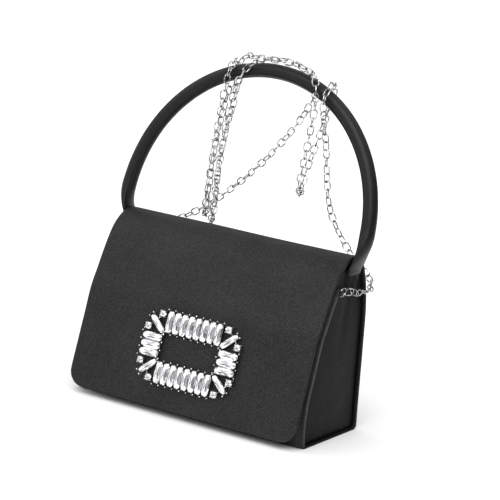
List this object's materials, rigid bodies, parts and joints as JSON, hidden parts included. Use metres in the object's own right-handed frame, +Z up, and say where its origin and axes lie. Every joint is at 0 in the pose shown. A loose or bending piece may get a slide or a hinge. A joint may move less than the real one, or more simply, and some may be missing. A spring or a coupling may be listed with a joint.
{
  "type": "evening bag",
  "caption": "Soft satin evening bag with a front flap, a crystal-set oblong buckle, a padded arched top handle and a draped link chain.",
  "frame": {"origin": "centre of the base panel's underside, on the surface the bag stands on", "axes": "+Z up; front with the flap and buckle towards -Y; +X to the viewer's right when facing the front"},
  "size_m": [0.2244, 0.1127, 0.2745],
  "materials": {
    "satin": "satin",
    "lining": "satin",
    "board": "matte",
    "filler": "matte",
    "magnet": "satin",
    "silver": "polished",
    "gunmetal": "polished",
    "crystal": "polished"
  },
  "bodies": {
    "bag": {"front_panel": "satin", "back_panel": "satin", "base_panel": "satin", "gusset_left": "satin", "gusset_right": "satin", "front_board": "board", "base_board": "board", "body_magnet": "magnet", "lining_bag": "lining", "slip_pocket": "lining", "handle_foot_left": "satin", "handle_foot_right": "satin", "chain_ring_left": "silver", "chain_ring_right": "silver", "ring_tab_left": "satin", "ring_tab_right": "satin"},
    "flap": {"flap_outer": "satin", "flap_board": "board", "flap_lining": "satin", "flap_magnet": "magnet", "buckle_rivet_left": "gunmetal", "buckle_rivet_right": "gunmetal", "buckle_frame": "gunmetal", "stone_top_1": "crystal", "stone_top_2": "crystal", "stone_top_3": "crystal", "stone_top_4": "crystal", "stone_top_5": "crystal", "stone_top_6": "crystal", "stone_top_7": "crystal", "stone_top_8": "crystal", "stone_bottom_1": "crystal", "stone_bottom_2": "crystal", "stone_bottom_3": "crystal", "stone_bottom_4": "crystal", "stone_bottom_5": "crystal", "stone_bottom_6": "crystal", "stone_bottom_7": "crystal", "stone_bottom_8": "crystal", "stone_left_1": "crystal", "stone_left_2": "crystal", "stone_left_3": "crystal", "stone_right_1": "crystal", "stone_right_2": "crystal", "stone_right_3": "crystal", "stone_upper_left": "crystal", "stone_upper_right": "crystal", "stone_lower_left": "crystal", "stone_lower_right": "crystal", "round_upper_left_1": "crystal", "round_upper_left_2": "crystal", "round_upper_right_1": "crystal", "round_upper_right_2": "crystal", "round_lower_left_1": "crystal", "round_lower_left_2": "crystal", "round_lower_right_1": "crystal", "round_lower_right_2": "crystal"},
    "handle": {"handle_cover": "satin", "handle_core": "filler", "chain": "silver"}
  },
  "joints": [
    {"name": "flap_hinge", "type": "hinge", "parent": "bag", "child": "flap", "pos_m": [0, 0.014, 0.1393], "axis": [-1, 0, 0], "range_deg": [0, 88]},
    {"name": "handle_hinge", "type": "hinge", "parent": "bag", "child": "handle", "pos_m": [0, 0.008, 0.13], "axis": [-1, 0, 0], "range_deg": [-5, 85], "deforming": ["chain"]}
  ]
}
